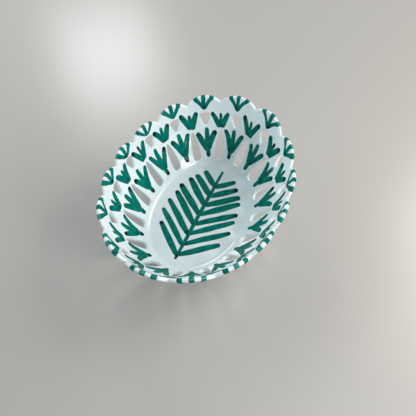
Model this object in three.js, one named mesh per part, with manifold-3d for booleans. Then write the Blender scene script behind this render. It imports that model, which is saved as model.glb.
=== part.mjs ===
// An oval bread bowl in glazed earthenware: a flared, pierced wall under a scalloped rim, with
// leaf strokes of green glaze standing a little proud of the white.
// Millimetres, +Z up. The origin is under the middle of the foot ring and +X runs along the bowl.

import * as THREE from "three";
import { mergeVertices } from "three/addons/utils/BufferGeometryUtils.js";
import Module from "manifold-3d";

const wasm = await Module();
wasm.setup();

// Floor and foot ring
const FLOOR_LENGTH = 151;
const FLOOR_WIDTH = 104;
const FLOOR_THICKNESS = 4.5;
const FOOT_HEIGHT = 2.5;
const FOOT_FACE_WIDTH = 5.5;
const FOOT_FLANK_DRAFT = 0.8;
const FOOT_OUTSET = 3;

// Wall and rim. Reach is the distance up the inside of the wall from the corner at its foot.
const WALL_THICKNESS = 4.5;
const CORNER_RADIUS = 8;
const LEAN_AT_FOOT = 32;
const LEAN_AT_RIM = 25.5;
const NOTCH_REACH = 72;
const RIM_SWAY = 3;
const LOBE_COUNT = 16;
const LOBE_RISE = 9;
const LOBE_FULLNESS = 0.72;
const NOTCH_ROUNDING = 1.6;

// Piercings: a tall slot under each notch and a shield-shaped vent under each lobe
const SLOT_FOOT_REACH = 1.7;
const SLOT_LENGTH = 37.5;
const SLOT_WIDTH = 10;
const VENT_FOOT_REACH = 47;
const VENT_LENGTH = 16.5;
const VENT_WIDTH = 13;

// Green glaze
const GLAZE_THICKNESS = 0.5;
const GLAZE_GAP = 0.35;
const STROKE_WIDTH = 6.5;
const STROKE_TIP_SHARE = 0.3;
const LEAF_ROOT_SHIFT = 1.8;
const SPRIG_FOOT_REACH = 5;
const SPRIG_VENT_CLEARANCE = 2.5;
const SPRIG_FORK_REACH = 14;
const SPRIG_LEAF_SPREAD = 12.5;
const SPRIG_LEAF_RISE = 26;
const BUD_SLOT_CLEARANCE = 4.5;
const BUD_LEAF_SPREAD = 11.5;
const BUD_LEAF_RISE = 21;
const BUD_HEART_WIDTH = 4.2;
const CROWN_VENT_CLEARANCE = 3;
const CROWN_STROKE_WIDTH = 5.5;
const CROWN_SPREAD = 11;
const CROWN_TAIL = 8;
const BRANCH_MARGIN = 7;
const BRANCH_LEAF_PAIRS = 8;
const BRANCH_LEAF_WIDTH = 7.5;
const BRANCH_LEAF_ANGLE = 50;
const BRANCH_STEM_WIDTH = 5;

// Fineness of the meshes
const RING_SAMPLES = 720;
const STEPS_PER_LOBE = 6;
const CORNER_STEPS = 2;
const INSIDE_STEPS = 3;
const OUTSIDE_STEPS = 2;
const LIP_STEPS = 4;
const LEAF_STEPS = 3;

const FLOOR_Z = FOOT_HEIGHT + FLOOR_THICKNESS;
const WALL_REACH = NOTCH_REACH + LOBE_RISE;
const LIP_RADIUS = WALL_THICKNESS / 2;
const radians = THREE.MathUtils.degToRad;

// The profile of the inner skin. A station holds its distance outside the floor's edge, its
// height, and the lean of the skin from the vertical.
function cornerStation(angle) {
  return {
    offset: CORNER_RADIUS * Math.sin(angle),
    z: FLOOR_Z + CORNER_RADIUS * (1 - Math.cos(angle)),
    lean: Math.PI / 2 - angle,
  };
}

const CORNER_SWEEP = Math.PI / 2 - radians(LEAN_AT_FOOT);

function wallStation(reach) {
  const foot = cornerStation(CORNER_SWEEP);
  const bend = (radians(LEAN_AT_RIM - LEAN_AT_FOOT) * reach) / WALL_REACH;
  const chord = Math.abs(bend) > 1e-6 ? (reach * Math.sin(bend / 2)) / (bend / 2) : reach;
  return {
    offset: foot.offset + chord * Math.sin(foot.lean + bend / 2),
    z: foot.z + chord * Math.cos(foot.lean + bend / 2),
    lean: foot.lean + bend,
  };
}

// The floor's oval and the rings parallel to it. A turn runs from 0 at +X once round, in equal
// lengths along the ring half-way up the wall, so that the lobes stay evenly spaced.
function ovalAt(angle) {
  const point = new THREE.Vector2(
    (FLOOR_LENGTH / 2) * Math.cos(angle),
    (FLOOR_WIDTH / 2) * Math.sin(angle),
  );
  const normal = new THREE.Vector2(
    Math.cos(angle) / FLOOR_LENGTH,
    Math.sin(angle) / FLOOR_WIDTH,
  ).normalize();
  return { point, normal };
}

const middleOffset = wallStation(WALL_REACH / 2).offset;
const ringSamples = Array.from({ length: RING_SAMPLES + 1 }, (_, i) => {
  const { point, normal } = ovalAt((i / RING_SAMPLES) * 2 * Math.PI);
  return point.addScaledVector(normal, middleOffset);
});
const ringLengths = [0];
for (let i = 1; i <= RING_SAMPLES; i++) {
  ringLengths.push(ringLengths[i - 1] + ringSamples[i].distanceTo(ringSamples[i - 1]));
}
const ringLength = ringLengths[RING_SAMPLES];

function ringAt(turn) {
  const share = turn - Math.floor(turn);
  const length = share * ringLength;
  let i = 1;
  while (ringLengths[i] < length) i++;
  const part = (length - ringLengths[i - 1]) / (ringLengths[i] - ringLengths[i - 1]);
  return ovalAt(((i - 1 + part) / RING_SAMPLES) * 2 * Math.PI);
}

// A point on the bowl: lift is measured off the inner skin into the hollow, and along is
// measured up the slope of the wall.
function spot(turn, station, lift = 0, along = 0) {
  const { point, normal } = ringAt(turn);
  const out = station.offset - lift * Math.cos(station.lean) + along * Math.sin(station.lean);
  return new THREE.Vector3(
    point.x + normal.x * out,
    point.y + normal.y * out,
    station.z + lift * Math.sin(station.lean) + along * Math.cos(station.lean),
  );
}

// Turns per millimetre round the bowl, at one place on the wall
function turnsPerMillimetre(turn, station) {
  const step = 0.001;
  return (2 * step) / spot(turn + step, station).distanceTo(spot(turn - step, station));
}

const rimPitch =
  (ringLength + 2 * Math.PI * (wallStation(NOTCH_REACH).offset - middleOffset)) / LOBE_COUNT;

// How far up the wall the lip starts. The rim stands higher at the oval's ends than at its sides,
// each lobe is a full arch, and the notches are eased.
function rimReach(turn) {
  const share = turn * LOBE_COUNT - Math.round(turn * LOBE_COUNT);
  const fromNotch = (0.5 - Math.abs(share)) * rimPitch;
  const eased = Math.hypot(fromNotch, NOTCH_ROUNDING) - NOTCH_ROUNDING;
  const fromMiddle = 1 - (2 * eased) / rimPitch;
  const arch = Math.pow(1 - fromMiddle ** 2, LOBE_FULLNESS);
  return NOTCH_REACH + RIM_SWAY * Math.cos(4 * Math.PI * turn) + LOBE_RISE * arch;
}

// A point on the lip: its angle runs from 0 where the inner skin ends to pi where the outer starts
function lipSpot(turn, angle, lift = 0) {
  const radius = LIP_RADIUS + lift;
  const station = wallStation(rimReach(turn));
  return spot(turn, station, radius * Math.cos(angle) - LIP_RADIUS, radius * Math.sin(angle));
}

// Solids for joining and cutting
function solidOf(geometry) {
  const bare = geometry.clone();
  bare.deleteAttribute("normal");
  bare.deleteAttribute("uv");
  const merged = mergeVertices(bare, 1e-4);
  return new wasm.Manifold(
    new wasm.Mesh({
      numProp: 3,
      vertProperties: new Float32Array(merged.attributes.position.array),
      triVerts: new Uint32Array(merged.index.array),
    }),
  );
}

function geometryOf(solid) {
  const mesh = solid.getMesh();
  const geometry = new THREE.BufferGeometry();
  geometry.setAttribute("position", new THREE.BufferAttribute(mesh.vertProperties, 3));
  geometry.setIndex(new THREE.BufferAttribute(mesh.triVerts, 1));
  return geometry.toNonIndexed();
}

// A closed skin through rings of points, capped at both ends on a middle point
function loft(rings, firstMiddle, lastMiddle) {
  const count = rings[0].length;
  const points = [...rings.flat(), firstMiddle, lastMiddle];
  const first = points.length - 2;
  const last = points.length - 1;
  const faces = [];
  for (let i = 0; i < count; i++) {
    const next = (i + 1) % count;
    faces.push(first, i, next);
    for (let row = 0; row < rings.length - 1; row++) {
      const low = row * count;
      const high = low + count;
      faces.push(low + i, high + i, low + next);
      faces.push(low + next, high + i, high + next);
    }
    const end = (rings.length - 1) * count;
    faces.push(last, end + next, end + i);
  }
  const geometry = new THREE.BufferGeometry().setFromPoints(points);
  geometry.setIndex(faces);
  return geometry;
}

// The clay, before it is pierced
function clayGeometry() {
  const turns = Array.from({ length: LOBE_COUNT * STEPS_PER_LOBE }, (_, i) =>
    i / (LOBE_COUNT * STEPS_PER_LOBE));
  const ring = (place) => turns.map(place);
  const flat = (offset, z) => ring((turn) => spot(turn, { offset, z, lean: 0 }));
  const rings = [];
  for (let i = 0; i < CORNER_STEPS; i++) {
    const station = cornerStation((CORNER_SWEEP * i) / CORNER_STEPS);
    rings.push(ring((turn) => spot(turn, station)));
  }
  for (let i = 0; i < INSIDE_STEPS; i++) {
    rings.push(ring((turn) => spot(turn, wallStation((rimReach(turn) * i) / INSIDE_STEPS))));
  }
  for (let i = 0; i <= LIP_STEPS; i++) {
    rings.push(ring((turn) => lipSpot(turn, (Math.PI * i) / LIP_STEPS)));
  }
  for (let i = OUTSIDE_STEPS - 1; i >= 0; i--) {
    rings.push(ring((turn) =>
      spot(turn, wallStation((rimReach(turn) * i) / OUTSIDE_STEPS), -WALL_THICKNESS)));
  }
  // The outside of the corner runs into the foot ring where the ring's flank meets it.
  const flankAngle = Math.asin(FOOT_OUTSET / (CORNER_RADIUS + WALL_THICKNESS));
  for (let i = CORNER_STEPS - 1; i >= 0; i--) {
    const station = cornerStation(flankAngle + ((CORNER_SWEEP - flankAngle) * i) / CORNER_STEPS);
    rings.push(ring((turn) => spot(turn, station, -WALL_THICKNESS)));
  }
  const faceOuter = FOOT_OUTSET - FOOT_FLANK_DRAFT;
  const faceInner = faceOuter - FOOT_FACE_WIDTH;
  rings.push(flat(faceOuter, 0));
  rings.push(flat(faceInner, 0));
  rings.push(flat(faceInner - FOOT_FLANK_DRAFT, FOOT_HEIGHT));
  return loft(rings, new THREE.Vector3(0, 0, FLOOR_Z), new THREE.Vector3(0, 0, FOOT_HEIGHT));
}

// Outlines of the piercings, each standing on its lowest point
function slotShape() {
  const half = SLOT_WIDTH / 2;
  const top = SLOT_LENGTH;
  const shape = new THREE.Shape();
  shape.moveTo(0, 0);
  shape.bezierCurveTo(half * 0.8, 0, half, half * 0.35, half, half * 1.1);
  shape.bezierCurveTo(half, top * 0.5, half * 0.6, top, 0, top);
  shape.bezierCurveTo(-half * 0.6, top, -half, top * 0.5, -half, half * 1.1);
  shape.bezierCurveTo(-half, half * 0.35, -half * 0.8, 0, 0, 0);
  return shape;
}

function ventShape() {
  const half = VENT_WIDTH / 2;
  const top = VENT_LENGTH;
  const shape = new THREE.Shape();
  shape.moveTo(0, 0);
  shape.bezierCurveTo(half * 0.4, 0, half * 0.62, top * 0.35, half * 0.86, top * 0.62);
  shape.bezierCurveTo(half * 1.12, top * 0.92, half * 0.9, top, 0, top);
  shape.bezierCurveTo(-half * 0.9, top, -half * 1.12, top * 0.92, -half * 0.86, top * 0.62);
  shape.bezierCurveTo(-half * 0.62, top * 0.35, -half * 0.4, 0, 0, 0);
  return shape;
}

// A cutter square to the wall, its outline's lowest point at the given reach
function piercing(shape, length, turn, footReach) {
  const station = wallStation(footReach + length / 2);
  const { normal } = ringAt(turn);
  const across = new THREE.Vector3(normal.y, -normal.x, 0);
  const up = new THREE.Vector3(
    normal.x * Math.sin(station.lean),
    normal.y * Math.sin(station.lean),
    Math.cos(station.lean),
  );
  const inward = new THREE.Vector3().crossVectors(across, up);
  const depth = WALL_THICKNESS * 4;
  const geometry = new THREE.ExtrudeGeometry(shape, { depth, bevelEnabled: false, curveSegments: 3 });
  geometry.translate(0, -length / 2, -depth / 2);
  geometry.applyMatrix4(new THREE.Matrix4().makeBasis(across, up, inward));
  const middle = spot(turn, station, -WALL_THICKNESS / 2);
  return solidOf(geometry.translate(middle.x, middle.y, middle.z));
}

function bodyGeometry() {
  let clay = solidOf(clayGeometry());
  for (let i = 0; i < LOBE_COUNT; i++) {
    const lobe = i / LOBE_COUNT;
    const notch = (i + 0.5) / LOBE_COUNT;
    clay = clay.subtract(piercing(ventShape(), VENT_LENGTH, lobe, VENT_FOOT_REACH));
    clay = clay.subtract(piercing(slotShape(), SLOT_LENGTH, notch, SLOT_FOOT_REACH));
  }
  return geometryOf(clay);
}

// A brush stroke laid on a skin: a ribbon that is highest along its middle and narrower at its ends.
// place(share, across, lift) gives a point at a share of its length.
function strokeGeometry(shares, width, place) {
  const section = [[0.5, 0], [0, 1], [-0.5, 0]];
  const rings = shares.map((share) => {
    const belly = Math.sqrt(Math.sin(Math.PI * share));
    const broad = width * (STROKE_TIP_SHARE + (1 - STROKE_TIP_SHARE) * belly);
    return section.map(([across, high]) =>
      place(share, across * broad, GLAZE_GAP + high * GLAZE_THICKNESS));
  });
  const middle = (ring) =>
    ring.reduce((sum, p) => sum.add(p), new THREE.Vector3()).divideScalar(ring.length);
  return loft(rings, middle(rings[0]), middle(rings[rings.length - 1]));
}

const evenShares = (steps) => Array.from({ length: steps + 1 }, (_, i) => i / steps);

// A stroke up the inside of the wall, along a curve in millimetres across and up from the turn
function wallStroke(turn, curve, width) {
  return strokeGeometry(evenShares(LEAF_STEPS), width, (share, across, lift) => {
    const run = curve.getTangent(share);
    const at = curve.getPoint(share).add(new THREE.Vector2(run.y, -run.x).multiplyScalar(across));
    const station = wallStation(at.y);
    return spot(turn - at.x * turnsPerMillimetre(turn, station), station, lift);
  });
}

// A stroke from above a vent up to the rim, over the lip and down the outside. It swings out from
// the lobe's middle on the inside and keeps its place from the lip on.
function lipStroke(lobe, spread, fromReach, width) {
  const perMillimetre = turnsPerMillimetre(lobe, wallStation(WALL_REACH));
  const inside = WALL_REACH - fromReach;
  const length = inside + Math.PI * LIP_RADIUS + CROWN_TAIL;
  const shares = [
    0,
    ...evenShares(LIP_STEPS).map((part) => (inside + part * Math.PI * LIP_RADIUS) / length),
    1,
  ];
  return strokeGeometry(shares, width, (share, across, lift) => {
    const travelled = share * length;
    const part = Math.min(travelled / inside, 1);
    const turn = lobe - (spread * part + across) * perMillimetre;
    const reach = rimReach(turn);
    if (part < 1) return spot(turn, wallStation(fromReach + (reach - fromReach) * part), lift);
    const angle = (travelled - inside) / LIP_RADIUS;
    if (angle <= Math.PI) return lipSpot(turn, angle, lift);
    const drop = travelled - inside - Math.PI * LIP_RADIUS;
    return spot(turn, wallStation(reach - drop), -WALL_THICKNESS - lift);
  });
}

const joined = (geometries) => geometryOf(wasm.Manifold.union(geometries.map(solidOf)));

// Two leaves that part at a fork and bend outwards
function leafPair(turn, fork, spread, rise) {
  return [-1, 1].map((hand) => {
    const root = new THREE.Vector2(hand * LEAF_ROOT_SHIFT, fork);
    const knee = new THREE.Vector2(hand * spread * 0.35, fork + rise * 0.5);
    const tip = new THREE.Vector2(hand * spread, fork + rise);
    return wallStroke(turn, new THREE.QuadraticBezierCurve(root, knee, tip), STROKE_WIDTH);
  });
}

function upright(turn, low, high, width) {
  const line = new THREE.LineCurve(new THREE.Vector2(0, low), new THREE.Vector2(0, high));
  return wallStroke(turn, line, width);
}

function sprigGeometry(lobe) {
  const top = VENT_FOOT_REACH - SPRIG_VENT_CLEARANCE;
  return joined([
    upright(lobe, SPRIG_FOOT_REACH, top, STROKE_WIDTH),
    ...leafPair(lobe, SPRIG_FORK_REACH, SPRIG_LEAF_SPREAD, SPRIG_LEAF_RISE),
  ]);
}

function budGeometry(notch) {
  const fork = SLOT_FOOT_REACH + SLOT_LENGTH + BUD_SLOT_CLEARANCE;
  return joined([
    upright(notch, fork, fork + BUD_LEAF_RISE * 0.95, BUD_HEART_WIDTH),
    ...leafPair(notch, fork, BUD_LEAF_SPREAD, BUD_LEAF_RISE),
  ]);
}

function crownGeometry(lobe) {
  const foot = VENT_FOOT_REACH + VENT_LENGTH + CROWN_VENT_CLEARANCE;
  return joined([-1, 0, 1].map((hand) =>
    lipStroke(lobe, hand * CROWN_SPREAD, foot, CROWN_STROKE_WIDTH)));
}

// A stroke on the flat floor, between two points
function floorStroke(from, to, width) {
  const run = new THREE.Vector2().subVectors(to, from);
  const side = new THREE.Vector2(run.y, -run.x).normalize();
  return strokeGeometry(evenShares(LEAF_STEPS), width, (share, across, lift) => {
    const at = from.clone().addScaledVector(run, share).addScaledVector(side, across);
    return new THREE.Vector3(at.x, at.y, FLOOR_Z + lift);
  });
}

// A leafy branch along the floor: each leaf runs from the stem to the margin inside the floor's edge
function branchGeometry() {
  const halfLength = FLOOR_LENGTH / 2 - BRANCH_MARGIN;
  const halfWidth = FLOOR_WIDTH / 2 - BRANCH_MARGIN;
  const angle = radians(BRANCH_LEAF_ANGLE);
  const strokes = [
    floorStroke(new THREE.Vector2(-halfLength, 0), new THREE.Vector2(halfLength, 0), BRANCH_STEM_WIDTH),
  ];
  for (let i = 0; i < BRANCH_LEAF_PAIRS; i++) {
    const x = halfLength * (1.75 * ((i + 0.35) / BRANCH_LEAF_PAIRS) - 1);
    const slopeX = Math.cos(angle) / halfLength;
    const slopeY = Math.sin(angle) / halfWidth;
    const a = slopeX * slopeX + slopeY * slopeY;
    const b = (x / halfLength) * slopeX;
    const c = (x / halfLength) ** 2 - 1;
    const length = (-b + Math.sqrt(b * b - a * c)) / a;
    for (const hand of [-1, 1]) {
      const tip = new THREE.Vector2(
        x + length * Math.cos(angle),
        hand * length * Math.sin(angle),
      );
      strokes.push(floorStroke(new THREE.Vector2(x, 0), tip, BRANCH_LEAF_WIDTH));
    }
  }
  return joined(strokes);
}

// Assembly
const whiteGlaze = () =>
  new THREE.MeshStandardMaterial({ name: "white_glaze", color: 0xdfe9eb, roughness: 0.15 });
const greenGlaze = () =>
  new THREE.MeshStandardMaterial({ name: "green_glaze", color: 0x0a6a5a, roughness: 0.15 });

function named(name, geometry, material) {
  geometry.computeVertexNormals();
  const mesh = new THREE.Mesh(geometry, material);
  mesh.name = name;
  return mesh;
}

const bowl = new THREE.Group();
bowl.name = "bread_bowl";
bowl.add(named("bowl_body", bodyGeometry(), whiteGlaze()));
bowl.add(named("floor_branch", branchGeometry(), greenGlaze()));
for (let i = 0; i < LOBE_COUNT; i++) {
  const number = String(i + 1).padStart(2, "0");
  const lobe = i / LOBE_COUNT;
  const notch = (i + 0.5) / LOBE_COUNT;
  bowl.add(named("lobe_sprig_" + number, sprigGeometry(lobe), greenGlaze()));
  bowl.add(named("lip_crown_" + number, crownGeometry(lobe), greenGlaze()));
  bowl.add(named("notch_bud_" + number, budGeometry(notch), greenGlaze()));
}

export default bowl;
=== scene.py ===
"""The looks of an oval pierced bread bowl: glazed clay, strokes of green glaze, floor, light and camera.

Lengths of the bowl are in millimetres until by_hand turns its points into metres, and a turn is once
round the bowl. Its sizes repeat the part's own, apart from those that a comment calls the scene's own.
"""
import bisect
import collections
import math

import bpy
from mathutils import Matrix, Vector, noise
from mathutils.geometry import delaunay_2d_cdt


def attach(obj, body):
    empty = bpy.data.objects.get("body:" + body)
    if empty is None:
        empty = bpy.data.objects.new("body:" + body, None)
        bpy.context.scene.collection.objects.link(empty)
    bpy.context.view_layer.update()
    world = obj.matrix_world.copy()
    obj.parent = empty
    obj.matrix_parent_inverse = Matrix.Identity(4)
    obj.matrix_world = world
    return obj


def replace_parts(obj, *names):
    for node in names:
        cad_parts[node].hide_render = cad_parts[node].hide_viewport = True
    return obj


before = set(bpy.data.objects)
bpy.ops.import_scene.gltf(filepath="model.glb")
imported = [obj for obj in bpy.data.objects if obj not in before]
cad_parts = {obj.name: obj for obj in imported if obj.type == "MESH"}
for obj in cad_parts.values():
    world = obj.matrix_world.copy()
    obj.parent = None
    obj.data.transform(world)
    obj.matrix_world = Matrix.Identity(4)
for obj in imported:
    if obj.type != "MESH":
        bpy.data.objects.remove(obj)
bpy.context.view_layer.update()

MM = 0.001

# Floor and foot ring
FLOOR_LENGTH = 151.0
FLOOR_WIDTH = 104.0
FLOOR_THICKNESS = 4.5
FOOT_HEIGHT = 2.5
FOOT_FACE_WIDTH = 5.5
FOOT_FLANK_DRAFT = 0.8
FOOT_OUTSET = 3.0

# Wall and rim. Reach is the distance up the inside of the wall, from the corner at its foot.
WALL_THICKNESS = 4.5
CORNER_RADIUS = 8.0
NOTCH_REACH = 72.0
RIM_SWAY = 3.0
LOBE_COUNT = 16
LOBE_RISE = 9.0
LOBE_FULLNESS = 0.72
NOTCH_ROUNDING = 1.6

# Piercings: a slot under each notch, and a vent under the middle of each lobe
SLOT_FOOT_REACH = 1.7
SLOT_LENGTH = 37.5
SLOT_WIDTH = 10.0
VENT_FOOT_REACH = 47.0
VENT_LENGTH = 16.5
VENT_WIDTH = 13.0

# Green glaze
STROKE_WIDTH = 6.5
LEAF_ROOT_SHIFT = 1.8
LEAF_KNEE_SHARE = 0.35
SPRIG_FOOT_REACH = 5.0
SPRIG_VENT_CLEARANCE = 2.5
SPRIG_FORK_REACH = 14.0
SPRIG_LEAF_SPREAD = 12.5
SPRIG_LEAF_RISE = 26.0
BUD_SLOT_CLEARANCE = 4.5
BUD_LEAF_SPREAD = 11.5
BUD_LEAF_RISE = 21.0
BUD_HEART_WIDTH = 4.2
BUD_HEART_RISE_SHARE = 0.95
CROWN_VENT_CLEARANCE = 3.0
CROWN_STROKE_WIDTH = 5.5
CROWN_SPREAD = 11.0
CROWN_TAIL = 8.0
BRANCH_MARGIN = 7.0
BRANCH_LEAF_PAIRS = 8
BRANCH_LEAF_WIDTH = 7.5
BRANCH_LEAF_ANGLE = math.radians(50.0)
BRANCH_LEAVED_SHARE = 1.75
BRANCH_FIRST_LEAF = 0.35
BRANCH_STEM_WIDTH = 5.0

# The scene's own: a rounder wall, rounded edges, and strokes with fuller ends that have run wider
LEAN_AT_FOOT = math.radians(39.5)
LEAN_AT_RIM = math.radians(19.5)
FOOT_EDGE_ROUND = 0.7
PIERCING_ROUND = 0.8
STROKE_HEIGHT = 0.36
STROKE_SINK = 0.3
STROKE_TIP_SHARE = 0.5
STROKE_RUN = 1.14

FLOOR_Z = FOOT_HEIGHT + FLOOR_THICKNESS
WALL_REACH = NOTCH_REACH + LOBE_RISE
LIP_RADIUS = WALL_THICKNESS / 2
LIP_GIRTH = math.pi * LIP_RADIUS
CORNER_SWEEP = math.pi / 2 - LEAN_AT_FOOT


def clamped(value):
    return min(max(value, 0.0), 1.0)


def lengths_along(points):
    """How far along a line each of its points is."""
    lengths = [0.0]
    for a, b in zip(points, points[1:]):
        lengths.append(lengths[-1] + math.dist(a, b))
    return lengths


def step_at(lengths, length):
    """Number of the point that ends the step at a length, and how far through that step the length is."""
    i = min(max(bisect.bisect_left(lengths, length), 1), len(lengths) - 1)
    return i, (length - lengths[i - 1]) / (lengths[i] - lengths[i - 1])


# The bowl's surface. A station is a distance outside the floor's edge, a height and a lean from upright.

# Steps round the ring and of a turn that measure it, and the bend under which the wall counts as straight
RING_STEPS = 720
TURN_STEP = 0.001
LEAST_BEND = 1e-6


def corner_station(angle):
    """On the inside of the corner, at an angle from the floor's edge."""
    height = FLOOR_Z + CORNER_RADIUS * (1 - math.cos(angle))
    return CORNER_RADIUS * math.sin(angle), height, math.pi / 2 - angle


def wall_station(reach):
    """On the inside of the wall, which bends evenly from the foot's lean to the rim's."""
    offset, z, lean = corner_station(CORNER_SWEEP)
    bend = (LEAN_AT_RIM - LEAN_AT_FOOT) * reach / WALL_REACH
    chord = reach * math.sin(bend / 2) / (bend / 2) if abs(bend) > LEAST_BEND else reach
    return offset + chord * math.sin(lean + bend / 2), z + chord * math.cos(lean + bend / 2), lean + bend


def oval_at(angle):
    """Point and outward normal of the floor's oval."""
    c, s = math.cos(angle), math.sin(angle)
    nx, ny = c / FLOOR_LENGTH, s / FLOOR_WIDTH
    size = math.hypot(nx, ny)
    return FLOOR_LENGTH / 2 * c, FLOOR_WIDTH / 2 * s, nx / size, ny / size


MIDDLE_OFFSET = wall_station(WALL_REACH / 2)[0]


def middle_ring():
    """Points of the ring half-way up the wall."""
    points = []
    for i in range(RING_STEPS + 1):
        x, y, nx, ny = oval_at(i / RING_STEPS * 2 * math.pi)
        points.append((x + nx * MIDDLE_OFFSET, y + ny * MIDDLE_OFFSET))
    return points


RING_LENGTHS = lengths_along(middle_ring())
RING_LENGTH = RING_LENGTHS[-1]


def ring_at(turn):
    """The oval at a turn, which runs once round in equal lengths of the ring half-way up the wall."""
    i, part = step_at(RING_LENGTHS, (turn - math.floor(turn)) * RING_LENGTH)
    return oval_at((i - 1 + part) / RING_STEPS * 2 * math.pi)


def spot(turn, station, lift=0.0):
    """A point in millimetres, lifted off the inner skin into the hollow."""
    x, y, nx, ny = ring_at(turn)
    offset, z, lean = station
    out = offset - lift * math.cos(lean)
    return Vector((x + nx * out, y + ny * out, z + lift * math.sin(lean)))


def turns_per_mm(turn, station):
    before, after = spot(turn - TURN_STEP, station), spot(turn + TURN_STEP, station)
    return 2 * TURN_STEP / (after - before).length


def pitch_at(reach):
    """Mean distance from one lobe to the next at a reach."""
    return (RING_LENGTH + 2 * math.pi * (wall_station(reach)[0] - MIDDLE_OFFSET)) / LOBE_COUNT


RIM_PITCH = pitch_at(NOTCH_REACH)
MIDDLE_PITCH = RING_LENGTH / LOBE_COUNT
HALF = MIDDLE_PITCH / 2


def rim_reach(turn):
    """Reach of the rim's even lobes and notches."""
    share = turn * LOBE_COUNT - round(turn * LOBE_COUNT)
    from_notch = (0.5 - abs(share)) * RIM_PITCH
    eased = math.hypot(from_notch, NOTCH_ROUNDING) - NOTCH_ROUNDING
    from_middle = 1 - 2 * eased / RIM_PITCH
    return NOTCH_REACH + LOBE_RISE * (1 - from_middle ** 2) ** LOBE_FULLNESS


def crest_reach(across):
    """Reach of the lip's crest, at a distance across the lobe in the flat pattern."""
    return rim_reach(across / RING_LENGTH) + LIP_RADIUS


# The scene's own: what making by hand did. A stretch has its middle and its spread as shares of a turn,
# and how much it changes: the rim's height in millimetres, the lobes' place along the rim as a share of
# a turn, and the width of the slots as a share of it.

RIM_UNEVEN = ((-0.035, 0.05, 2.4), (0.19, 0.08, -1.8), (0.47, 0.06, 1.0), (0.75, 0.06, -0.9))
RIM_PUSHED = ((-0.02, 0.09, 0.007), (0.33, 0.08, -0.004))
SLOT_CUT = ((-0.03, 0.10, 0.22),)

# Reaches from which the rim's own height and place are blended into the wall, and where they are full
RIM_SHIFT_FROM = VENT_FOOT_REACH + VENT_LENGTH - 1.0
RIM_PUSH_FROM = 30.0
RIM_FULL = NOTCH_REACH + LIP_RADIUS

# Bends of the whole bowl: length of the waves, the most, and where in the noise they are read.
# They are full from a height on. Without a seed, noise_vector differs from run to run.
HAND_BENDS = ((62, 0.7, Vector((3.1, 7.7, 1.9))), (23, 0.35, Vector((8.4, 2.6, 5.3))))
HAND_FULL_HEIGHT = 20
HAND_SEED = 24
noise.seed_set(HAND_SEED)


def by_hand(point):
    """A point in metres, bent with the whole bowl a little. The foot stays flat."""
    bend = Vector()
    for length, most, start in HAND_BENDS:
        bend += noise.noise_vector(point / length + start) * most
    return (point + bend * clamped(point.z / HAND_FULL_HEIGHT)) * MM


def swell(turn, stretches):
    """The sum of the stretches' bell curves at a turn."""
    total = 0.0
    for middle, spread, height in stretches:
        away = (turn - middle + 0.5) % 1 - 0.5
        total += height * math.exp(-(away / spread) ** 2)
    return total


def rim_shift(turn):
    """What the rim stands above its mean reach: more at the oval's ends than at its sides."""
    return RIM_SWAY * math.cos(4 * math.pi * turn) + swell(turn, RIM_UNEVEN)


def slot_cut(turn, reach):
    """What a slot's edge is moved by, as a share of a turn. Half-way to the next slot nothing moves."""
    from_slot = 2 * (turn * LOBE_COUNT - math.floor(turn * LOBE_COUNT)) - 1
    fade = clamped((VENT_FOOT_REACH - reach) / (VENT_FOOT_REACH - SLOT_LENGTH))
    return swell(turn, SLOT_CUT) * fade * from_slot * (1 - from_slot ** 2) ** 2 / (2 * LOBE_COUNT)


def wall_spot(turn, reach, lift):
    """A point of the finished wall in metres. The rim's own height and place are blended into it."""
    turn += slot_cut(turn, reach)
    share = clamped((reach - RIM_SHIFT_FROM) / (RIM_FULL - RIM_SHIFT_FROM))
    drawn = reach + rim_shift(turn) * share * share * (3 - 2 * share)
    push = swell(turn, RIM_PUSHED) * clamped((reach - RIM_PUSH_FROM) / (RIM_FULL - RIM_PUSH_FROM))
    return by_hand(spot(turn + push, wall_station(drawn), lift))


# The flat pattern of half a lobe. It runs from the lobe's middle, where a vent is, to the notch, where
# a slot is. Across is measured on the ring half-way up the wall, and up is the reach.

# Handles of half a piercing's outline, along two curves: across in half widths, and up in millimetres.
# The slot's are the scene's own, with a rounder foot than the part's.
SLOT_HANDLES = (
    (0, 0), (0.75, 0), (1, 0.5 * SLOT_WIDTH / 2), (1, 1.5 * SLOT_WIDTH / 2),
    (1, 0.52 * SLOT_LENGTH), (0.6, SLOT_LENGTH), (0, SLOT_LENGTH),
)
VENT_HANDLES = (
    (0, 0), (0.4, 0), (0.62, 0.35 * VENT_LENGTH), (0.86, 0.62 * VENT_LENGTH),
    (1.12, 0.92 * VENT_LENGTH), (0.9, VENT_LENGTH), (0, VENT_LENGTH),
)
SLOT_CURVE_STEPS = (40, 80)
VENT_CURVE_STEPS = (60, 60)
CREST_STEPS = 120

# Distances between the points on the pattern's border, and the number of parts of its foot
SLOT_SPACING = 0.85
VENT_SPACING = 0.75
CREST_SPACING = 0.8
FOOT_PARTS = 9
NOTCH_LOW_SPACING = 0.8
NOTCH_HIGH_SPACING = 1.5
LOBE_HIGH_SPACING = 1.5
LOBE_LOW_SPACING = 1.6

# Rings of points beside the piercings and the lip: their distances, the room that a point needs as a
# share of the step from ring to ring, and what they keep clear of the pattern's sides and foot
PIERCING_RINGS = (0.16, 0.42, 0.8, 1.3, 2.1)
LIP_RINGS = (0.12, 0.4, 0.85, 1.45, 2.25, 3.3)
RING_ROOM = 0.55
RING_SIDE_MARGIN = 0.05
RING_FOOT_MARGIN = 0.25

# The grid of points elsewhere: its spacing, its rows, and what it keeps clear
GRID = 2.0
GRID_ROW = GRID * 0.866
GRID_TOP = 90
GRID_MARGIN = 0.4 * GRID
GRID_ROOM = 0.7 * GRID
GRID_CLEARANCE = 2.4

# Distances under which a point is taken to be on a line, on the pattern's side or at its foot
ON_LINE = 1e-4
ON_SIDE = 1e-5
ON_FOOT = 1e-6


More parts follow.
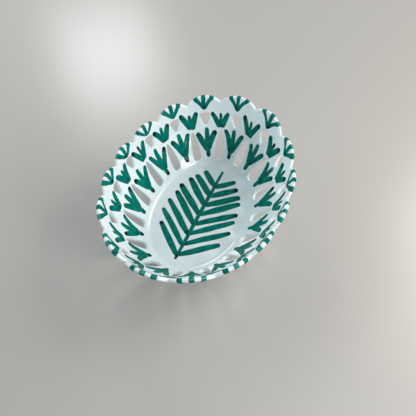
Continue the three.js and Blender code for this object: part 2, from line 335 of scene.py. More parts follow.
def bezier(p0, p1, p2, p3, count):
    points = []
    for i in range(count + 1):
        t = i / count
        s = 1 - t
        points.append(tuple(s ** 3 * a + 3 * s * s * t * b + 3 * s * t * t * c + t ** 3 * d
                            for a, b, c, d in zip(p0, p1, p2, p3)))
    return points


def half_outline(width, handles, steps):
    """Half of a piercing's outline in real millimetres, from its foot to its top."""
    points = [(across * width / 2, up) for across, up in handles]
    return bezier(*points[:4], steps[0]) + bezier(*points[3:], steps[1])[1:]


def stretch(reach):
    """Real millimetres per millimetre across the flat pattern."""
    return pitch_at(reach) / MIDDLE_PITCH


def slot_line():
    half = half_outline(SLOT_WIDTH, SLOT_HANDLES, SLOT_CURVE_STEPS)
    return [(HALF - x / stretch(SLOT_FOOT_REACH + y), SLOT_FOOT_REACH + y) for x, y in half]


def vent_line():
    half = half_outline(VENT_WIDTH, VENT_HANDLES, VENT_CURVE_STEPS)
    return [(x / stretch(VENT_FOOT_REACH + y), VENT_FOOT_REACH + y) for x, y in half]


def crest_line():
    places = [HALF * i / CREST_STEPS for i in range(CREST_STEPS + 1)]
    return [(x, crest_reach(x)) for x in places]


def resampled(points, spacing):
    """A line with its points at even distances, near a spacing."""
    lengths = lengths_along(points)
    count = max(2, round(lengths[-1] / spacing))
    out = [points[0]]
    for i in range(1, count):
        j, part = step_at(lengths, lengths[-1] * i / count)
        out.append(tuple(a + (b - a) * part for a, b in zip(points[j - 1], points[j])))
    return out + [points[-1]]


def straight(x, low, high, spacing):
    """Points between the ends of an upright line."""
    count = max(1, round(abs(high - low) / spacing))
    return [(x, low + (high - low) * i / count) for i in range(1, count)]


def offset_line(line, distance, side):
    """The points between a line's ends, moved sideways by a real distance."""
    out = []
    for (ax, ay), (x, y), (bx, by) in zip(line, line[1:], line[2:]):
        ratio = stretch(y)
        dx, dy = (bx - ax) * ratio, by - ay
        size = math.hypot(dx, dy)
        nx, ny = -dy / size * side, dx / size * side
        out.append((x + nx * distance / ratio, y + ny * distance))
    return out


def distance_to(line, x, y):
    """Real distance from a point of the pattern to a line."""
    ratio = stretch(y)
    best = math.inf
    for (ax, ay), (bx, by) in zip(line, line[1:]):
        px, py, qx, qy = (x - ax) * ratio, y - ay, (bx - ax) * ratio, by - ay
        part = clamped((px * qx + py * qy) / (qx * qx + qy * qy))
        best = min(best, math.hypot(px - part * qx, py - part * qy))
    return best


def inside(polygon, x, y):
    hit = False
    for (ax, ay), (bx, by) in zip(polygon, polygon[1:] + polygon[:1]):
        if (ay > y) != (by > y) and x < ax + (y - ay) / (by - ay) * (bx - ax):
            hit = not hit
    return hit


def flat_pattern():
    """Points and triangles of half a lobe, and the lines of its slot, vent and crest."""
    slot = resampled(slot_line(), SLOT_SPACING)
    vent = resampled(vent_line(), VENT_SPACING)
    crest = resampled(crest_line(), CREST_SPACING)
    foot = [(HALF * i / FOOT_PARTS, 0.0) for i in range(FOOT_PARTS + 1)]
    notch_low = straight(HALF, 0.0, SLOT_FOOT_REACH, NOTCH_LOW_SPACING)
    notch_high = straight(HALF, slot[-1][1], crest[-1][1], NOTCH_HIGH_SPACING)
    lobe_high = straight(0.0, crest[0][1], vent[-1][1], LOBE_HIGH_SPACING)
    lobe_low = straight(0.0, vent[0][1], 0.0, LOBE_LOW_SPACING)
    border = foot + notch_low + slot + notch_high + crest[::-1] + lobe_high + vent[::-1] + lobe_low
    points = list(border)

    def add(x, y, room):
        if all(math.hypot(x - a, y - b) > room for a, b in points):
            points.append((x, y))

    rings = ((slot, 1, PIERCING_RINGS), (vent, -1, PIERCING_RINGS), (crest, -1, LIP_RINGS))
    for line, side, distances in rings:
        before = 0.0
        for distance in distances:
            for x, y in offset_line(line, distance, side):
                clear = RING_SIDE_MARGIN < x < HALF - RING_SIDE_MARGIN and y > RING_FOOT_MARGIN
                if clear and inside(border, x, y):
                    add(x, y, RING_ROOM * (distance - before))
            before = distance
    for row in range(1, int(GRID_TOP / GRID_ROW)):
        y = row * GRID_ROW
        for column in range(int(HALF / GRID) + 2):
            x = (column + (0.5 if row % 2 else 0.0)) * GRID
            if GRID_MARGIN < x < HALF - GRID_MARGIN and inside(border, x, y):
                if min(distance_to(line, x, y) for line in (slot, vent, crest)) > GRID_CLEARANCE:
                    add(x, y, GRID_ROOM)
    count = len(border)
    edges = [(i, (i + 1) % count) for i in range(count)]
    found = delaunay_2d_cdt([Vector(point) for point in points], edges, [], 1, ON_SIDE)
    return [tuple(vert) for vert in found[0]], [tuple(face) for face in found[2]], slot, vent, crest


# The clay. The flat pattern is laid on both halves of each lobe, and rings go on from the wall's foot.

GLAZED = 0
BARE = 1

# Distances over which the glaze thickens away from the edge of a piercing and from the lip's crest
THIN_AT_PIERCING = 0.7
THIN_AT_LIP = 1.2

# Numbers of rings, and the scene's own section of the foot ring, with rounded edges. A flank's points are
# distances from the standing face and heights. The rings of the face and most of its edges are bare.
INNER_CORNER_RINGS = 8
OUTER_CORNER_RINGS = 9
FLAT_RINGS = 12
FOOT_OUTER_FLANK = ((0.35, 1.4), (0.2, FOOT_EDGE_ROUND))
FOOT_INNER_FLANK = (
    (0.2, FOOT_EDGE_ROUND), (0.5, FOOT_HEIGHT - 0.8), (0.9, FOOT_HEIGHT - 0.25), (1.8, FOOT_HEIGHT),
)
FOOT_EDGE_ANGLES = (0.4, 0.8, 1.2, math.pi / 2)
FOOT_EDGE_SPREAD = 0.1
FOOT_BARE_RINGS = range(3, 10)


def smooth_mesh(name, points, faces, layers):
    """A smooth mesh. Each layer has a name and a number for every point."""
    mesh = bpy.data.meshes.new(name)
    mesh.from_pydata(points, [], faces)
    mesh.polygons.foreach_set("use_smooth", [True] * len(faces))
    for key, values in layers:
        mesh.attributes.new(key, "FLOAT", "POINT").data.foreach_set("value", values)
    mesh.update()
    return mesh


class Clay:
    """The clay's mesh: points, how thin the glaze lies on each, faces and the numbers of their materials."""

    def __init__(self):
        self.points = []
        self.thin = []
        self.faces = []
        self.materials = []

    def point(self, place, thinness=0.0):
        self.points.append(place)
        self.thin.append(thinness)
        return len(self.points) - 1

    def face(self, corners, turned, material=GLAZED):
        self.faces.append(corners[::-1] if turned else corners)
        self.materials.append(material)

    def ring(self, before, turns, place, turned, material=GLAZED):
        """A further ring, joined to the one before it. place(turn) gives a point in millimetres."""
        here = [self.point(by_hand(place(turn))) for turn in turns]
        for i in range(len(here)):
            self.face([before[i - 1], here[i - 1], here[i], before[i]], turned, material)
        return here

    def flat(self, before, turns, offset, z, turned):
        """Rings that shrink to the bowl's middle, and a fan that closes the last."""
        for step in range(FLAT_RINGS - 1, 0, -1):
            scale = Vector((step / FLAT_RINGS, step / FLAT_RINGS, 1))
            before = self.ring(before, turns, lambda turn: spot(turn, (offset, z, 0.0)) * scale, turned)
        middle = self.point(by_hand(Vector((0, 0, z))))
        for i in range(len(before)):
            self.face([before[i - 1], before[i], middle], not turned)

    def mesh(self, name):
        mesh = smooth_mesh(name, self.points, self.faces, (("thin_glaze", self.thin),))
        mesh.polygons.foreach_set("material_index", self.materials)
        return mesh


def edge_drop(distance, radius):
    """How far a rounded edge lies under its face, at a distance from the edge."""
    reach = radius - min(distance, radius)
    return radius - math.sqrt(max(radius * radius - reach * reach, 0.0))


def lay_wall(clay):
    """The two skins of the wall and the walls of its piercings. Gives the turns round the wall's lowest
    ring, and that ring's points inside and outside."""
    verts, triangles, slot, vent, crest = flat_pattern()
    kinds, drops, thins = [], [], []
    for x, y in verts:
        to_slot, to_vent, to_crest = (distance_to(line, x, y) for line in (slot, vent, crest))
        to_piercing = min(to_slot, to_vent)
        near = (("rim", to_crest), ("slot", to_slot), ("vent", to_vent))
        kinds.append(next((kind for kind, distance in near if distance < ON_LINE), ""))
        drops.append(edge_drop(to_piercing, PIERCING_ROUND) + edge_drop(to_crest, LIP_RADIUS))
        thins.append(max(math.exp(-to_piercing / THIN_AT_PIERCING), math.exp(-to_crest / THIN_AT_LIP)))
    made = {}

    def corner(lobe, hand, i, outer):
        """A point of the pattern on one half of a lobe. Halves share their sides, and skins the rim."""
        x, y = verts[i]
        skin = 0 if kinds[i] == "rim" else int(outer)
        if x < ON_SIDE:
            key, turn = ("lobe", lobe, i, skin), lobe / LOBE_COUNT
        elif x > HALF - ON_SIDE:
            notch = (2 * lobe + hand) % (2 * LOBE_COUNT)
            key, turn = ("notch", notch, i, skin), notch / 2 / LOBE_COUNT
        else:
            key, turn = (lobe, hand, i, skin), lobe / LOBE_COUNT + hand * x / RING_LENGTH
        if key not in made:
            lift = drops[i] - WALL_THICKNESS if outer else -drops[i]
            made[key] = clay.point(wall_spot(turn, y, lift), thins[i])
        return made[key]

    sides = [(a, b) for face in triangles for a, b in zip(face, face[1:] + face[:1])]
    uses = collections.Counter(frozenset(side) for side in sides)
    cuts = [(a, b) for a, b in sides
            if uses[frozenset((a, b))] == 1 and kinds[a] == kinds[b] and kinds[a] in ("slot", "vent")]
    for lobe in range(LOBE_COUNT):
        for hand in (1, -1):
            for face in triangles:
                clay.face([corner(lobe, hand, i, False) for i in face], hand > 0)
                clay.face([corner(lobe, hand, i, True) for i in face], hand < 0)
            for a, b in cuts:
                places = ((a, False), (b, False), (b, True), (a, True))
                clay.face([corner(lobe, hand, i, outer) for i, outer in places], hand < 0)

    low = sorted((i for i, (x, y) in enumerate(verts) if y < ON_FOOT), key=lambda i: verts[i][0])
    order = []
    for lobe in range(LOBE_COUNT):
        order += [(lobe, -1, i) for i in reversed(low)][:-1]
        order += [(lobe, 1, i) for i in low][:-1]
    turns = [lobe / LOBE_COUNT + hand * verts[i][0] / RING_LENGTH for lobe, hand, i in order]
    return turns, [corner(*place, False) for place in order], [corner(*place, True) for place in order]


def foot_section():
    """The foot ring, from its outer flank over the standing face to the underside: offsets and heights."""
    outer = FOOT_OUTSET - FOOT_FLANK_DRAFT
    inner = outer - FOOT_FACE_WIDTH
    edge = []
    for angle in FOOT_EDGE_ANGLES:
        away = FOOT_EDGE_ROUND - (FOOT_EDGE_ROUND + FOOT_EDGE_SPREAD) * math.cos(angle)
        edge.append((away, FOOT_EDGE_ROUND - FOOT_EDGE_ROUND * math.sin(angle)))
    section = [(outer + away, z) for away, z in FOOT_OUTER_FLANK]
    section += [(outer - away, z) for away, z in edge]
    section += [(inner + away, z) for away, z in reversed(edge)]
    return section + [(inner - away, z) for away, z in FOOT_INNER_FLANK]


def bowl_mesh():
    clay = Clay()
    turns, inner, outer = lay_wall(clay)

    # The inside: corner and floor
    for step in reversed(range(INNER_CORNER_RINGS)):
        station = corner_station(CORNER_SWEEP * step / INNER_CORNER_RINGS)
        inner = clay.ring(inner, turns, lambda turn: spot(turn, station), True)
    clay.flat(inner, turns, 0.0, FLOOR_Z, True)

    # The outside: corner, foot ring and underside
    flank = math.asin(FOOT_OUTSET / (CORNER_RADIUS + WALL_THICKNESS))
    for step in reversed(range(OUTER_CORNER_RINGS)):
        station = corner_station(flank + (CORNER_SWEEP - flank) * step / OUTER_CORNER_RINGS)
        outer = clay.ring(outer, turns, lambda turn: spot(turn, station, -WALL_THICKNESS), False)
    section = foot_section()
    for i, (offset, z) in enumerate(section):
        material = BARE if i in FOOT_BARE_RINGS else GLAZED
        outer = clay.ring(outer, turns, lambda turn: spot(turn, (offset, z, 0.0)), False, material)
    clay.flat(outer, turns, section[-1][0], FOOT_HEIGHT, False)
    return clay.mesh("bowl_clay")


# Strokes of green glaze. From here to the materials, the section of a stroke, what is let off from the
# rule and where the glaze gathers are the scene's own.

# Steps that measure a stroke, and steps along and columns across its mesh
MEASURE_STEPS = 40
LEAF_STEPS = 34
LEAF_COLUMNS = 10
CROWN_STEPS = 48
BRANCH_LEAF_STEPS = 48
BRANCH_LEAF_COLUMNS = 12
BRANCH_STEM_STEPS = 90

# A stroke's section: powers that make it flat on top, its height plain and per pool, the half width from
# which it is full height, its least half width, what its edge sinks, and how wide it is where it is sunk
SECTION_FLATNESS = 2.6
SECTION_FULLNESS = 0.7
HEIGHT_PLAIN = 0.85
HEIGHT_POOLED = 0.4
FULL_HEIGHT_HALF = 1.2
LEAST_HALF = 0.02
EDGE_SINK = 0.04
SUNK_SHARE = 0.9

# How a stroke's width wobbles and its line drifts: the most, the length of the waves, and where in the
# noise they are read, as a rate for the stroke's seed and a depth
WOBBLE = (0.10, 11, 3.7, 0.5)
DRIFT = (0.45, 17, 5.1, 7.5)

# How glaze pools or is worn at a place: mean and swing of its strength, its spread along the stroke, and
# where in the noise the swing is read, as rates for the stroke's seed and for the place, and a depth
POOLED = (0.6, 1.1, 4.2, (1.7, 9.1, 2.5))
WORN = (1.0, 0.8, 2.2, (2.3, 5.3, 6.5))

# Places where the glaze pools or is worn: the share of the stroke, and the strength
LEAF_POOLS = ((0.94, 0.9), (0.1, 0.5))
STEM_POOLS = ((0.05, 1.0), (0.38, 0.35))
HEART_POOLS = ((0.9, 0.8), (0.1, 0.5))
CROWN_POOLS = ((0.06, 0.8),)
BRANCH_LEAF_POOLS = ((0.96, 1.0), (0.06, 0.45))
BRANCH_STEM_POOLS = ((0.03, 1.0),)
CREST_WEAR = 0.9

# What is let off from the rule, at most, as shares of a length or width. A leaf of the branch runs a share
# of its full length.
WIDTH_UNLIKE = 0.08
LEAF_SPREAD_UNLIKE = 0.07
LEAF_RISE_UNLIKE = 0.06
LEAF_KNEE_UNLIKE = 0.09
BRANCH_LEAF_RUN = 0.98
BRANCH_LEAF_RUN_UNLIKE = 0.02

# The same in millimetres, and for the angle in radians
LEAF_FORK_UNLIKE = 0.7
UPRIGHT_TOP_UNLIKE = 0.8
UPRIGHT_SWAY_UNLIKE = 0.9
CROWN_SPREAD_UNLIKE = 0.8
CROWN_FOOT_UNLIKE = 0.6
BRANCH_ROOT_UNLIKE = 0.7
BRANCH_ANGLE_UNLIKE = 0.03

# Seeds: each sprig, crown and bud has its own ten, and a multiple of a seed gives a further draw
UNLIKE_RATE = 12.9898
UNLIKE_START = 4.1
SEEDS_PER_PIECE = 10
CROWN_SEED = 400
BUD_SEED = 800
HEART_SEED = 40
BRANCH_SEED = 1200

# Step that measures the slope of the lip's crest
LIP_SLOPE_STEP = 0.05


def unlike(seed, amount):
    """A hand's departure from the rule, between minus and plus the amount, and the same on every run."""
    return amount * math.sin(seed * UNLIKE_RATE + UNLIKE_START)


class Strokes:
    """One deposit of glaze: closed ribbons that share a mesh. Each point keeps what its colour needs: how
    much glaze has pooled there, and how near the edge or how worn it is."""

    def __init__(self, seed):
        self.seed = seed
        self.points = []
        self.faces = []
        self.pool = []
        self.edge = []

    def point(self, place, pool, edge):
        self.points.append(place)
        self.pool.append(pool)
        self.edge.append(edge)
        return len(self.points) - 1

    def sway(self, kind, travelled):
        most, length, rate, depth = kind
        return most * noise.noise(Vector((travelled / length, self.seed * rate, depth)))

    def gathered(self, kind, places, share, length):
        """The strongest of some places, at a share of a stroke of a length."""
        mean, swing, spread, (seed_rate, place_rate, depth) = kind
        most = 0.0
        for at, strength in places:
            strength *= mean + swing * noise.noise(Vector((self.seed * seed_rate, at * place_rate, depth)))
            most = max(most, strength * math.exp(-((share - at) * length / spread) ** 2))
        return most

    def half_width(self, width, share, length):
        """Half the width of a stroke at a share of it: widest in the middle, with rounded ends."""
        blunt = width * STROKE_TIP_SHARE * 0.5
        belly = math.sqrt(max(math.sin(math.pi * share), 0.0))
        from_end = min(min(share, 1 - share) * length / blunt, 1.0)
        rounding = math.sqrt(max(1 - (1 - from_end) ** 2, 0.0))
        wobble = 1 + self.sway(WOBBLE, share * length)
        half = width / 2 * (STROKE_TIP_SHARE + (1 - STROKE_TIP_SHARE) * belly) * wobble * rounding
        return max(half, LEAST_HALF)

    def ribbon(self, width, place, pools, steps=LEAF_STEPS, columns=LEAF_COLUMNS, worn=()):
        """A stroke. place(share, across, lift) gives a point in metres, with the last two in millimetres."""
        self.seed += 1
        line = [place(i / MEASURE_STEPS, 0.0, 0.0) for i in range(MEASURE_STEPS + 1)]
        length = sum((b - a).length for a, b in zip(line, line[1:])) / MM
        width *= STROKE_RUN * (1 + unlike(self.seed, WIDTH_UNLIKE))
        rows = []
        for i in range(steps + 1):
            share = 0.5 - 0.5 * math.cos(math.pi * i / steps)
            half = self.half_width(width, share, length)
            drift = self.sway(DRIFT, share * length)
            pool = self.gathered(POOLED, pools, share, length)
            thin = self.gathered(WORN, worn, share, length)
            row = []
            for j in range(columns + 1):
                side = -1 + 2 * j / columns
                rise = max(1 - abs(side) ** SECTION_FLATNESS, 0.0) ** SECTION_FULLNESS
                rise *= min(1.0, half / FULL_HEIGHT_HALF) * (HEIGHT_PLAIN + HEIGHT_POOLED * pool)
                top = place(share, side * half + drift, STROKE_HEIGHT * rise - EDGE_SINK)
                row.append(self.point(top, pool, max(abs(side), thin)))
            sunk = [place(share, side * half * SUNK_SHARE + drift, -STROKE_SINK) for side in (-1, 1)]
            left, right = (self.point(bottom, pool, 1.0) for bottom in sunk)
            rows.append(row + [right, left])
        for one, two in zip(rows, rows[1:]):
            for j in range(len(one)):
                self.faces.append((one[j - 1], one[j], two[j], two[j - 1]))
        self.faces.append(rows[0][::-1])
        self.faces.append(rows[-1][-2:] + rows[-1][:-2])

    def mesh(self, name):
        return smooth_mesh(name, self.points, self.faces, (("pool", self.pool), ("edge", self.edge)))


def on_curve(root, knee, tip, share, across):
    """A point beside a bent line, at a share of it and a distance to its right."""
    root, knee, tip = Vector(root), Vector(knee), Vector(tip)
    at = root.lerp(knee, share).lerp(knee.lerp(tip, share), share)
    run = (knee - root).lerp(tip - knee, share).normalized()
    return at + Vector((run.y, -run.x)) * across


def wall_place(turn, root, knee, tip):
    """On the inside of the wall, along a bent line in millimetres across from a turn and up."""
    def place(share, across, lift):
        at = on_curve(root, knee, tip, share, across)
        return wall_spot(turn - at.x * turns_per_mm(turn, wall_station(at.y)), at.y, lift)
    return place


def lip_place(lobe, spread, from_reach):
    """From above a vent up the inside, over the lip and down the outside of a lobe."""
    per_mm = turns_per_mm(lobe, wall_station(WALL_REACH))
    inside_length = WALL_REACH - from_reach
    length = inside_length + LIP_GIRTH + CROWN_TAIL
    ratio = RIM_PITCH / MIDDLE_PITCH

    def place(share, across, lift):
        travelled = share * length
        part = min(travelled / inside_length, 1.0)
        flat = (spread * part + across) * per_mm * RING_LENGTH
        crest = crest_reach(flat)
        rise = crest_reach(flat + LIP_SLOPE_STEP) - crest_reach(flat - LIP_SLOPE_STEP)
        slope = rise / (2 * LIP_SLOPE_STEP * ratio)
        size = math.hypot(1.0, slope)
        nx, ny = slope / size, -1.0 / size

        def under_crest(distance, skin_lift):
            turn = lobe - (flat + nx * distance / ratio) / RING_LENGTH
            return wall_spot(turn, crest + ny * distance, skin_lift)
        if part < 1.0:
            top = crest + ny * LIP_RADIUS
            turn = lobe - (flat + nx * LIP_RADIUS / ratio * part) / RING_LENGTH
            return wall_spot(turn, from_reach + (top - from_reach) * part, lift)
        angle = (travelled - inside_length) / LIP_RADIUS
        if angle <= math.pi:
            radius = LIP_RADIUS + lift
            return under_crest(LIP_RADIUS - radius * math.sin(angle), radius * math.cos(angle) - LIP_RADIUS)
        drop = travelled - inside_length - LIP_GIRTH
        return under_crest(LIP_RADIUS + drop, -WALL_THICKNESS - lift)
    return place


def floor_place(root, tip):
    """On the floor, along a straight line between two points."""
    middle = (Vector(root) + Vector(tip)) / 2

    def place(share, across, lift):
        at = on_curve(root, middle, tip, share, across)
        return by_hand(Vector((at.x, at.y, FLOOR_Z))) + Vector((0, 0, lift * MM))
    return place


def upright(turn, low, high, seed):
    """The place of a stroke up the wall."""
    top = high + unlike(seed * 3, UPRIGHT_TOP_UNLIKE)
    knee = (unlike(seed * 5, UPRIGHT_SWAY_UNLIKE), (low + top) / 2)
    return wall_place(turn, (0, low), knee, (unlike(seed * 7, UPRIGHT_SWAY_UNLIKE), top))


def leaf_pair(strokes, turn, fork, spread, rise):
    """Two leaves that part at a fork and bend outwards."""
    for hand in (-1, 1):
        seed = strokes.seed + hand
        wide = hand * spread * (1 + unlike(seed * 3, LEAF_SPREAD_UNLIKE))
        high = rise * (1 + unlike(seed * 5, LEAF_RISE_UNLIKE))
        low = fork + unlike(seed * 7, LEAF_FORK_UNLIKE)
        knee = (wide * (LEAF_KNEE_SHARE + unlike(seed * 11, LEAF_KNEE_UNLIKE)), low + high * 0.5)
        place = wall_place(turn, (hand * LEAF_ROOT_SHIFT, low), knee, (wide, low + high))
        strokes.ribbon(STROKE_WIDTH, place, LEAF_POOLS)


def sprig(number):
    """Two leaves and a stem between two slots."""
    lobe = number / LOBE_COUNT
    strokes = Strokes(number * SEEDS_PER_PIECE)
    leaf_pair(strokes, lobe, SPRIG_FORK_REACH, SPRIG_LEAF_SPREAD, SPRIG_LEAF_RISE)
    stem = upright(lobe, SPRIG_FOOT_REACH, VENT_FOOT_REACH - SPRIG_VENT_CLEARANCE, number)
    strokes.ribbon(STROKE_WIDTH, stem, STEM_POOLS)
    return strokes.mesh("sprig")


def bud(number):
    """Two leaves and a heart under a notch."""
    notch = (number + 0.5) / LOBE_COUNT
    strokes = Strokes(number * SEEDS_PER_PIECE + BUD_SEED)
    fork = SLOT_FOOT_REACH + SLOT_LENGTH + BUD_SLOT_CLEARANCE
    leaf_pair(strokes, notch, fork, BUD_LEAF_SPREAD, BUD_LEAF_RISE)
    heart = upright(notch, fork, fork + BUD_LEAF_RISE * BUD_HEART_RISE_SHARE, number + HEART_SEED)
    strokes.ribbon(BUD_HEART_WIDTH, heart, HEART_POOLS)
    return strokes.mesh("bud")


def crown(number):
    """Three strokes from above a vent over the lip, worn on its crest."""
    lobe = number / LOBE_COUNT
    strokes = Strokes(number * SEEDS_PER_PIECE + CROWN_SEED)
    foot = VENT_FOOT_REACH + VENT_LENGTH + CROWN_VENT_CLEARANCE
    for hand in (-1, 1, 0):
        seed = strokes.seed + hand
        spread = hand * CROWN_SPREAD + unlike(seed * 3, CROWN_SPREAD_UNLIKE)
        low = foot + unlike(seed * 5, CROWN_FOOT_UNLIKE)
        inside_length = WALL_REACH - low
        crest = (inside_length + LIP_GIRTH / 2) / (inside_length + LIP_GIRTH + CROWN_TAIL)
        place = lip_place(lobe, spread, low)
        strokes.ribbon(CROWN_STROKE_WIDTH, place, CROWN_POOLS, CROWN_STEPS, worn=((crest, CREST_WEAR),))
    return strokes.mesh("crown")


def branch():
    """A leafy branch along the floor. Its leaves end about a margin inside the floor's edge."""
    half_length = FLOOR_LENGTH / 2 - BRANCH_MARGIN
    half_width = FLOOR_WIDTH / 2 - BRANCH_MARGIN
    strokes = Strokes(BRANCH_SEED)
    for i in range(BRANCH_LEAF_PAIRS):
        x = half_length * (BRANCH_LEAVED_SHARE * (i + BRANCH_FIRST_LEAF) / BRANCH_LEAF_PAIRS - 1)
        # The full length is where the leaf meets the margin's oval, and solves a quadratic
        slope_x = math.cos(BRANCH_LEAF_ANGLE) / half_length
        slope_y = math.sin(BRANCH_LEAF_ANGLE) / half_width
        a = slope_x ** 2 + slope_y ** 2
        b = x / half_length * slope_x
        c = (x / half_length) ** 2 - 1
        length = (-b + math.sqrt(b * b - a * c)) / a
        for hand in (-1, 1):
            seed = strokes.seed + hand
            angle = BRANCH_LEAF_ANGLE + unlike(seed * 3, BRANCH_ANGLE_UNLIKE)
            run = length * (BRANCH_LEAF_RUN + unlike(seed * 5, BRANCH_LEAF_RUN_UNLIKE))
            root = x + unlike(seed * 7, BRANCH_ROOT_UNLIKE)
            tip = (root + run * math.cos(angle), hand * run * math.sin(angle))
            strokes.ribbon(BRANCH_LEAF_WIDTH, floor_place((root, 0), tip), BRANCH_LEAF_POOLS,
                           BRANCH_LEAF_STEPS, BRANCH_LEAF_COLUMNS)
    stem = floor_place((-half_length, 0), (half_length, 0))
    strokes.ribbon(BRANCH_STEM_WIDTH, stem, BRANCH_STEM_POOLS, BRANCH_STEM_STEPS)
    return strokes.mesh("branch")


# Materials

WHITE = (0.80, 0.89, 0.91, 1.0)
WHITE_THICK = (0.76, 0.87, 0.90, 1.0)
WHITE_THIN = (0.85, 0.90, 0.90, 1.0)
GREEN = (0.0004, 0.200, 0.160, 1.0)
GREEN_DEEP = (0.0003, 0.120, 0.094, 1.0)
GREEN_EDGE = (0.10, 0.42, 0.37, 1.0)
GREEN_POOLED = (0.0004, 0.014, 0.010, 1.0)
CLAY = (0.72, 0.56, 0.42, 1.0)
CLAY_PALE = (0.80, 0.68, 0.55, 1.0)
TABLE = (0.46, 0.437, 0.408, 1.0)
WORLD = (0.90, 0.96, 1.0, 1.0)

# Sockets of a colour mix. The mix node has sockets of the same names for its other types of value.
MIX_ONE = 6
MIX_TWO = 7
MIX_RESULT = 2


def feed(tree, target, values):
    """Sets sockets of a node to a number or a colour, or links them to another node's output."""
    for key, value in values.items():
        if isinstance(value, bpy.types.NodeSocket):
            tree.links.new(value, target.inputs[key])
        else:
            target.inputs[key].default_value = value


def node(tree, kind, values, **settings):
    made = tree.nodes.new(kind)
    for key, value in settings.items():
        setattr(made, key, value)
    feed(tree, made, values)
    return made


def shader(name):
    """A new material, its nodes and the one that shades its surface."""
    material = bpy.data.materials.new(name)
    material.use_nodes = True
    return material, material.node_tree, material.node_tree.nodes["Principled BSDF"]


def blend(tree, factor, one, two):
    values = {"Factor": factor, MIX_ONE: one, MIX_TWO: two}
    return node(tree, "ShaderNodeMix", values, data_type="RGBA").outputs[MIX_RESULT]


def ramp(tree, value, span=(0.0, 1.0), to=(0.0, 1.0)):
    values = {"Value": value, "From Min": span[0], "From Max": span[1], "To Min": to[0], "To Max": to[1]}
    return node(tree, "ShaderNodeMapRange", values).outputs["Result"]


def noise_field(tree, scale, detail=2.0, span=(0.35, 0.65)):
    place = node(tree, "ShaderNodeTexCoord", {}).outputs["Object"]
    texture = node(tree, "ShaderNodeTexNoise", {"Vector": place, "Scale": scale, "Detail": detail})
    return ramp(tree, texture.outputs["Fac"], span)


def layer(tree, name):
    """The number that a mesh keeps on its points under a name."""
    return node(tree, "ShaderNodeAttribute", {}, attribute_name=name).outputs["Fac"]


def bump(tree, height, strength, distance):
    values = {"Height": height, "Strength": strength, "Distance": distance}
    return node(tree, "ShaderNodeBump", values).outputs["Normal"]


def white_glaze():
    material, tree, surface = shader("white_glaze")
    colour = blend(tree, noise_field(tree, scale=26.0, detail=3.0), WHITE, WHITE_THICK)
    thin = ramp(tree, layer(tree, "thin_glaze"), span=(0.15, 1.0), to=(0.0, 0.55))
    waves = noise_field(tree, scale=110.0, detail=1.0, span=(0.0, 1.0))
    feed(tree, surface, {
        "Base Color": blend(tree, thin, colour, WHITE_THIN),
        "Roughness": ramp(tree, noise_field(tree, scale=60.0), to=(0.09, 0.17)),
        "IOR": 1.52,
        "Coat Weight": 0.35,
        "Coat Roughness": 0.05,
        "Normal": bump(tree, waves, strength=0.10, distance=0.0012),
    })
    return material


def green_glaze():
    material, tree, surface = shader("green_glaze")
    colour = blend(tree, noise_field(tree, scale=150.0, detail=3.0), GREEN, GREEN_DEEP)
    pool = ramp(tree, layer(tree, "pool"), span=(0.15, 0.85), to=(0.0, 0.95))
    colour = blend(tree, pool, colour, GREEN_POOLED)
    edge = ramp(tree, layer(tree, "edge"), span=(0.80, 1.0), to=(0.0, 0.55))
    waves = noise_field(tree, scale=160.0, detail=1.0, span=(0.0, 1.0))
    feed(tree, surface, {
        "Base Color": blend(tree, edge, colour, GREEN_EDGE),
        "Roughness": ramp(tree, noise_field(tree, scale=90.0), to=(0.09, 0.16)),
        "IOR": 1.5,
        "Specular IOR Level": 0.0,
        "Coat Weight": 0.16,
        "Coat Roughness": 0.07,
        "Normal": bump(tree, waves, strength=0.10, distance=0.001),
    })
    return material


def bare_clay():
    material, tree, surface = shader("bare_clay")
    grain = noise_field(tree, scale=900.0, detail=5.0)
    feed(tree, surface, {
        "Base Color": blend(tree, grain, CLAY, CLAY_PALE),
        "Roughness": 0.9,
        "Normal": bump(tree, grain, strength=0.4, distance=0.0002),
    })
    return material


# Assembly

def piece(name, mesh, slot, *materials):
    made = bpy.data.objects.new(name, mesh)
    bpy.context.scene.collection.objects.link(made)
    for material in materials:
        mesh.materials.append(material)
    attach(made, "root")
    return made


white = white_glaze()
green = green_glaze()
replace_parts(piece("bowl_clay", bowl_mesh(), "white_glaze", white, bare_clay()), "bowl_body")
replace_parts(piece("branch_strokes", branch(), "green_glaze", green), "floor_branch")
for number in range(LOBE_COUNT):
    label = "%02d" % (number + 1)
    sprig_piece = piece("sprig_strokes_" + label, sprig(number), "green_glaze", green)
    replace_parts(sprig_piece, "lobe_sprig_" + label)
    crown_piece = piece("crown_strokes_" + label, crown(number), "green_glaze", green)
    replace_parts(crown_piece, "lip_crown_" + label)
    bud_piece = piece("bud_strokes_" + label, bud(number), "green_glaze", green)
    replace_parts(bud_piece, "notch_bud_" + label)


# Floor, light and camera, in metres

TABLE_HALF = 4.0

# The world's strength as light, and where it is seen or mirrored
WORLD_LIGHT = 0.33
WORLD_SEEN = 0.62

# The camera looks at the bowl's middle from the photograph's angle, and is then moved right and up
CAMERA_ELEVATION = math.radians(57.56)
CAMERA_AZIMUTH = math.radians(-65.42)
CAMERA_DISTANCE = 0.5595
CAMERA_RIGHT = 0.00933
CAMERA_UP = 0.00951
SENSOR_WIDTH = 36.0
IMAGE_PIXELS = 416.0
FOCAL_PIXELS = 457.0

# What lamps point at. Their places too are metres right of the bowl's middle, past it and above the floor.
BOWL_MIDDLE = (0.0, 0.0, 0.03)
TABLE_RIGHT = (0.36, -0.08, 0.0)


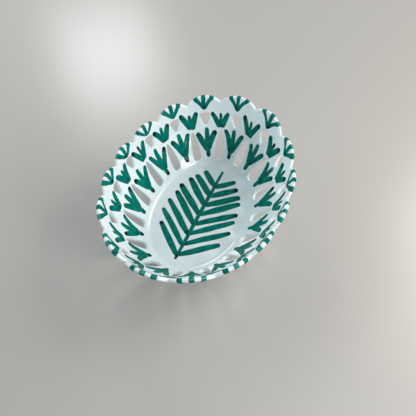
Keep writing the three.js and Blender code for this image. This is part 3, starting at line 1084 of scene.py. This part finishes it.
def floor():
    size = TABLE_HALF
    corners = [(-size, -size, 0), (size, -size, 0), (size, size, 0), (-size, size, 0)]
    mesh = bpy.data.meshes.new("floor")
    mesh.from_pydata(corners, [], [(0, 1, 2, 3)])
    made = bpy.data.objects.new("floor", mesh)
    bpy.context.scene.collection.objects.link(made)
    material, tree, surface = shader("floor")
    feed(tree, surface, {"Base Color": TABLE, "Roughness": 0.3, "Specular IOR Level": 0.8})
    mesh.materials.append(material)


def camera():
    """Adds the camera, and gives the directions to its right and back from the bowl to it."""
    level = math.cos(CAMERA_ELEVATION)
    back = Vector((math.sin(CAMERA_AZIMUTH) * level, -math.cos(CAMERA_AZIMUTH) * level,
                   math.sin(CAMERA_ELEVATION)))
    right = Vector((math.cos(CAMERA_AZIMUTH), math.sin(CAMERA_AZIMUTH), 0))
    up = back.cross(right)
    data = bpy.data.cameras.new("camera")
    data.sensor_width = SENSOR_WIDTH
    data.lens = FOCAL_PIXELS / IMAGE_PIXELS * SENSOR_WIDTH
    made = bpy.data.objects.new("camera", data)
    axes = Matrix((right, up, back)).transposed().to_4x4()
    axes.translation = back * CAMERA_DISTANCE + right * CAMERA_RIGHT + up * CAMERA_UP
    made.matrix_world = axes
    bpy.context.scene.collection.objects.link(made)
    bpy.context.scene.camera = made
    return right, back


def studio():
    """Even light from all round. Where it is seen or mirrored it is paler."""
    world = bpy.data.worlds.new("studio")
    world.use_nodes = True
    tree = world.node_tree
    rays = node(tree, "ShaderNodeLightPath", {}).outputs
    seen = rays["Is Camera Ray"]
    for kind in ("Is Glossy Ray", "Is Transmission Ray"):
        seen = node(tree, "ShaderNodeMath", {0: seen, 1: rays[kind]}, operation="MAXIMUM").outputs["Value"]
    strength = ramp(tree, seen, to=(WORLD_LIGHT, WORLD_SEEN))
    feed(tree, tree.nodes["Background"], {"Color": WORLD, "Strength": strength})
    return world


def area_light(axes, name, place, size, power, colour, target=BOWL_MIDDLE, mirrored=True):
    lamp = bpy.data.lights.new(name, "AREA")
    lamp.shape = "RECTANGLE"
    lamp.size, lamp.size_y = size
    lamp.energy = power
    lamp.color = colour
    made = bpy.data.objects.new(name, lamp)
    made.location = axes @ Vector(place)
    made.rotation_euler = (axes @ (Vector(target) - Vector(place))).to_track_quat("-Z", "Y").to_euler()
    made.visible_glossy = mirrored
    bpy.context.scene.collection.objects.link(made)


def light(right, back):
    scene = bpy.context.scene
    scene.view_settings.view_transform = "Standard"
    scene.world = studio()
    ahead = Vector((-back.x, -back.y, 0)).normalized()
    axes = Matrix((right, ahead, Vector((0, 0, 1)))).transposed()
    area_light(axes, "window", (-0.40, 1.25, 0.85), size=(0.38, 0.38), power=3.7, colour=(0.94, 0.99, 1.0))
    area_light(axes, "side", (1.02, 0.45, 0.84), size=(0.62, 0.62), power=7.7, colour=(1.0, 0.95, 0.88))
    area_light(axes, "left", (-1.10, 0.50, 0.45), size=(1.10, 0.75), power=8.3, colour=(0.90, 0.98, 1.0),
               mirrored=False)
    area_light(axes, "near", (0.67, -0.55, 0.42), size=(0.27, 0.25), power=3.6, colour=(0.97, 0.99, 1.0))
    area_light(axes, "fill", (0.40, -0.40, 1.40), size=(1.00, 1.00), power=2.8, colour=(0.97, 0.99, 1.0))
    area_light(axes, "edge", (0.50, 0.02, 0.34), size=(0.18, 0.42), power=0.32, colour=(1.0, 0.95, 0.90),
               target=TABLE_RIGHT)


floor()
light(*camera())
bpy.context.view_layer.update()
